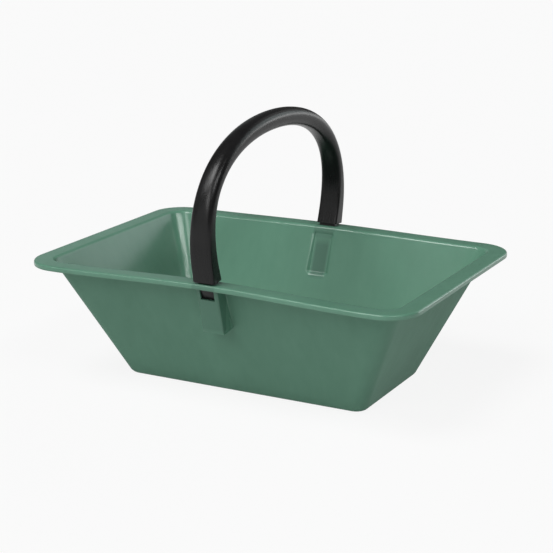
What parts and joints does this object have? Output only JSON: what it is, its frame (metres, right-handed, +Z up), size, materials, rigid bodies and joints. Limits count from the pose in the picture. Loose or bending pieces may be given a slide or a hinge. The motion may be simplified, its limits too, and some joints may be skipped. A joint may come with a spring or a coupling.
{
  "type": "grape harvest basket",
  "caption": "Oblong tapered plastic picking tub with a turned-down rim and an arched carrying handle whose tongues snap into moulded wall sockets.",
  "frame": {"origin": "middle of the underside of the base", "axes": "+Z up, +X along the long sides, +Y across the tub in the plane of the handle, towards the rear catch"},
  "size_m": [0.47, 0.3286, 0.3092],
  "materials": {
    "green_plastic": "satin moulded grey-green",
    "black_plastic": "satin moulded black"
  },
  "bodies": {
    "basket": {"tub": "green_plastic", "handle": "black_plastic"},
    "front_catch": {"front_catch": "black_plastic"},
    "rear_catch": {"rear_catch": "black_plastic"}
  },
  "joints": [
    {"name": "front_catch_press", "type": "hinge", "parent": "basket", "child": "front_catch", "pos_m": [0, -0.13689, 0.103], "axis": [-1, 0, 0], "range_deg": [0, 3.4], "stiffness_Nm_per_rad": 0.8},
    {"name": "rear_catch_press", "type": "hinge", "parent": "basket", "child": "rear_catch", "pos_m": [0, 0.13689, 0.103], "axis": [1, 0, 0], "range_deg": [0, 3.4], "stiffness_Nm_per_rad": 0.8}
  ]
}
